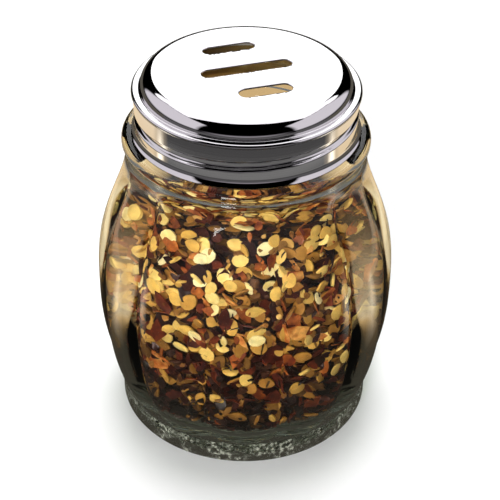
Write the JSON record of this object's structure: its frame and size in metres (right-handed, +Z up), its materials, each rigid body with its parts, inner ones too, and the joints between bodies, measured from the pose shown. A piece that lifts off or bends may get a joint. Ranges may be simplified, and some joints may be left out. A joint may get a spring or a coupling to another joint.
{
  "type": "table shaker",
  "caption": "Lobed glass table shaker with a slotted chromium-plated screw lid, filled with crushed pepper flakes and seeds.",
  "frame": {"origin": "middle of the foot, on the surface that the shaker stands on", "axes": "+Z up along the jar's axis, -Y towards the viewer of the picture, +X to the viewer's right"},
  "size_m": [0.074, 0.074, 0.095],
  "materials": {
    "glass": "gloss",
    "chrome": "polished",
    "gasket": "matte",
    "pepper": "matte"
  },
  "bodies": {
    "jar": {"glass_jar": "glass", "pepper_fill": "pepper"},
    "sealing_ring": {"rim_gasket": "gasket"},
    "screw_lid": {"lid": "chrome"}
  },
  "joints": [
    {"name": "lid_lift", "type": "slide", "parent": "jar", "child": "sealing_ring", "axis": [0, 0, 1], "range_m": [0, 0.00333]},
    {"name": "lid_turn", "type": "hinge", "parent": "sealing_ring", "child": "screw_lid", "pos_m": [0, 0, 0.0895], "axis": [0, 0, 1], "range_deg": [0, 285]}
  ],
  "couplings": [
    {"joint": "lid_lift", "follows": "lid_turn", "m_per_rad": 0.00066845}
  ]
}
